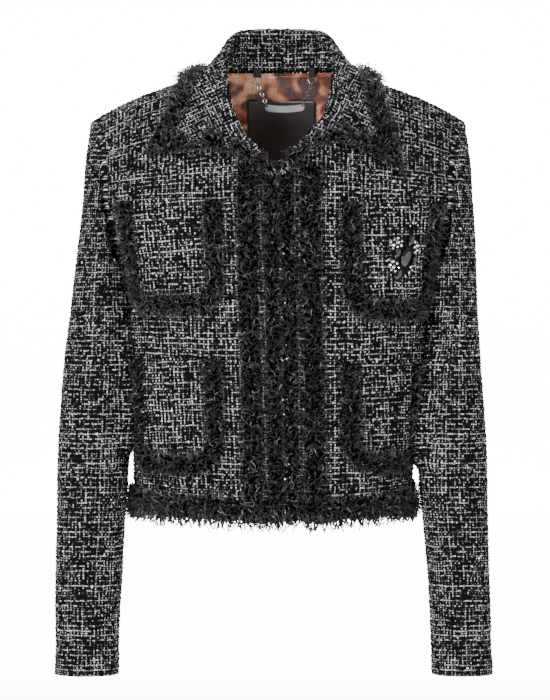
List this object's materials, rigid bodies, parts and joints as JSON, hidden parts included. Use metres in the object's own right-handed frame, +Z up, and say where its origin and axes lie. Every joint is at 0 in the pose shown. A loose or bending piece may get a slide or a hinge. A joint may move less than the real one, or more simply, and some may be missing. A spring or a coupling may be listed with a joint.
{
  "type": "cropped tweed jacket",
  "caption": "Cropped black-and-white tweed jacket with a pointed collar, patch pockets, ribbon fringe, jewelled front and brooch, shown filled out as if worn.",
  "frame": {"origin": "midway between the two neck points, on the line of the shoulders, where the wearer holds the jacket up", "axes": "+Z up the standing wearer, +X to the wearer's left, the front faces -Y"},
  "size_m": [0.475, 0.2357, 0.711],
  "materials": {
    "tweed": "bumpy black-and-white slub weave",
    "ribbon_fringe": "dense curly black ribbon yarn",
    "printed_lining": "smooth satin with a common animal print",
    "black_leather": "fine grain, semi-matte, bare",
    "black_tape": "woven tape, matte",
    "chromed_metal": "polished",
    "jet_glass": "faceted, polished",
    "gunmetal": "dark plated, satin"
  },
  "bodies": {
    "jacket": {"back_panel": "tweed", "front_left": "tweed", "front_right": "tweed", "sleeve_left": "tweed", "sleeve_right": "tweed", "collar": "tweed", "pocket_chest_left": "tweed", "pocket_chest_right": "tweed", "pocket_hip_left": "tweed", "pocket_hip_right": "tweed", "fringe_collar": "ribbon_fringe", "fringe_hem": "ribbon_fringe", "fringe_inner_left": "ribbon_fringe", "fringe_inner_right": "ribbon_fringe", "fringe_outer_left": "ribbon_fringe", "fringe_outer_right": "ribbon_fringe", "fringe_pocket_chest_left": "ribbon_fringe", "fringe_pocket_chest_right": "ribbon_fringe", "fringe_pocket_hip_left": "ribbon_fringe", "fringe_pocket_hip_right": "ribbon_fringe", "back_lining": "printed_lining", "neck_label": "black_leather", "closure_jewel_1": "jet_glass", "closure_jewel_2": "jet_glass", "closure_jewel_3": "jet_glass", "closure_jewel_4": "jet_glass", "closure_jewel_5": "jet_glass", "brooch_plate": "gunmetal", "brooch_stone_centre": "jet_glass", "brooch_stone_top": "jet_glass", "brooch_stone_bottom": "jet_glass", "brooch_stone_left": "jet_glass", "brooch_stone_right": "jet_glass", "tab_left": "black_tape", "ring_left": "chromed_metal", "tab_right": "black_tape", "ring_right": "chromed_metal"},
    "hanger": {"chain_left": "chromed_metal", "chain_right": "chromed_metal", "hanger_bar": "chromed_metal"}
  },
  "joints": [
    {"name": "hanger_swing", "type": "hinge", "parent": "jacket", "child": "hanger", "pos_m": [0.00753, 0.03436, -0.0125], "axis": [0.9877, -0.1564, 0], "range_deg": [-150, 60]}
  ]
}
